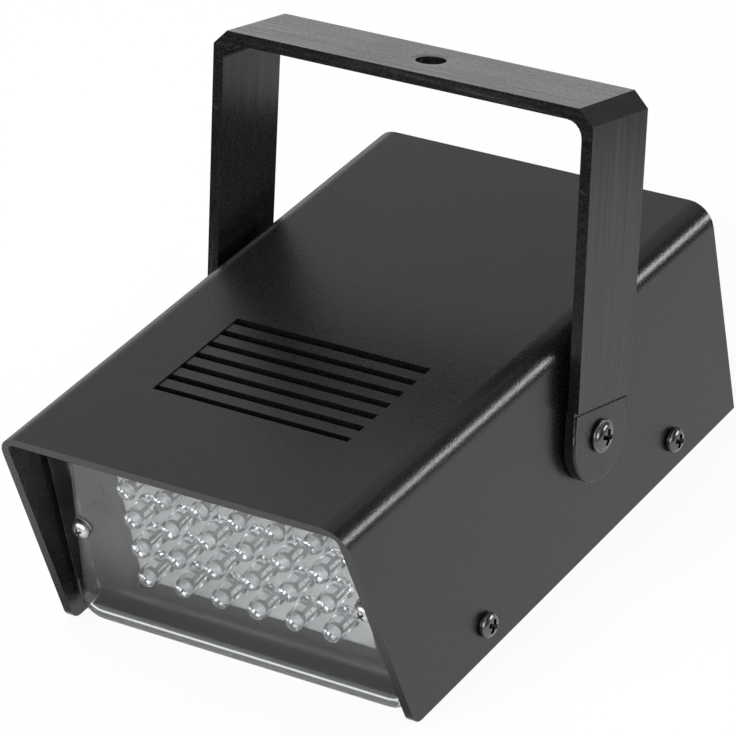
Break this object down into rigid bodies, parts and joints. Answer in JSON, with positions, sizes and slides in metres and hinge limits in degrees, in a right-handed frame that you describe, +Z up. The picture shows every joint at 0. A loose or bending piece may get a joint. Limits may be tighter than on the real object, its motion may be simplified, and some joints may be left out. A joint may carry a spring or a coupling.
{
  "type": "strobe light",
  "caption": "Small box-shaped LED strobe light with a visor over a recessed clear window, vent slots on top and a U bracket that tilts to hang or stand it.",
  "frame": {"origin": "centre of the bounding box at the height of the flat bottom that the light stands on", "axes": "+X across the housing to the right seen from the front, -Y out of the LED window, +Z up"},
  "size_m": [0.1088, 0.1594, 0.1066],
  "materials": {
    "black_moulding": "fine sand grain",
    "bracket_moulding": "satin",
    "dark_moulding": "satin",
    "clear_moulding": "clear polished",
    "led_epoxy": "clear polished",
    "white_board": "satin solder mask",
    "green_board": "satin solder mask",
    "black_steel": "black oxide",
    "bright_steel": "zinc plated",
    "core_steel": "lacquered laminations",
    "blue_sleeve": "shrink sleeve",
    "green_terminal": "satin",
    "lead_jacket": "satin jacket"
  },
  "bodies": {
    "housing": {"base_tray": "black_moulding", "cable_gland": "black_moulding", "capacitor_1": "blue_sleeve", "capacitor_2": "blue_sleeve", "cover": "black_moulding", "cover_screw_1": "black_steel", "cover_screw_2": "black_steel", "cover_screw_3": "black_steel", "cover_screw_4": "black_steel", "drive_transistor": "dark_moulding", "driver_board": "green_board", "front_bezel": "dark_moulding", "front_window": "clear_moulding", "fuse": "clear_moulding", "gland_nut": "black_moulding", "led_01": "led_epoxy", "led_02": "led_epoxy", "led_03": "led_epoxy", "led_04": "led_epoxy", "led_05": "led_epoxy", "led_06": "led_epoxy", "led_07": "led_epoxy", "led_08": "led_epoxy", "led_09": "led_epoxy", "led_10": "led_epoxy", "led_11": "led_epoxy", "led_12": "led_epoxy", "led_13": "led_epoxy", "led_14": "led_epoxy", "led_15": "led_epoxy", "led_16": "led_epoxy", "led_17": "led_epoxy", "led_18": "led_epoxy", "led_19": "led_epoxy", "led_20": "led_epoxy", "led_21": "led_epoxy", "led_22": "led_epoxy", "led_23": "led_epoxy", "led_24": "led_epoxy", "led_board": "white_board", "led_lead": "lead_jacket", "pivot_nut_left": "bright_steel", "pivot_nut_right": "bright_steel", "pivot_screw_left": "bright_steel", "pivot_screw_right": "bright_steel", "pivot_washer_left": "bright_steel", "pivot_washer_right": "bright_steel", "pot_lead": "lead_jacket", "pot_nut": "bright_steel", "potentiometer": "dark_moulding", "rear_panel": "black_moulding", "terminal_block": "green_terminal", "timer_chip": "dark_moulding", "transformer": "core_steel", "window_screw_left": "bright_steel", "window_screw_right": "bright_steel"},
    "bracket": {"bracket": "bracket_moulding"},
    "speed_control": {"speed_knob": "black_moulding", "pot_shaft": "bright_steel"}
  },
  "joints": [
    {"name": "bracket_tilt", "type": "hinge", "parent": "housing", "child": "bracket", "pos_m": [0, 0.00893, 0.02885], "axis": [1, 0, 0], "range_deg": [-83, 76]},
    {"name": "speed_knob_turn", "type": "hinge", "parent": "housing", "child": "speed_control", "pos_m": [-0.022, 0.06717, 0.02795], "axis": [0, 0.9983, -0.0585], "range_deg": [-150, 150]}
  ]
}
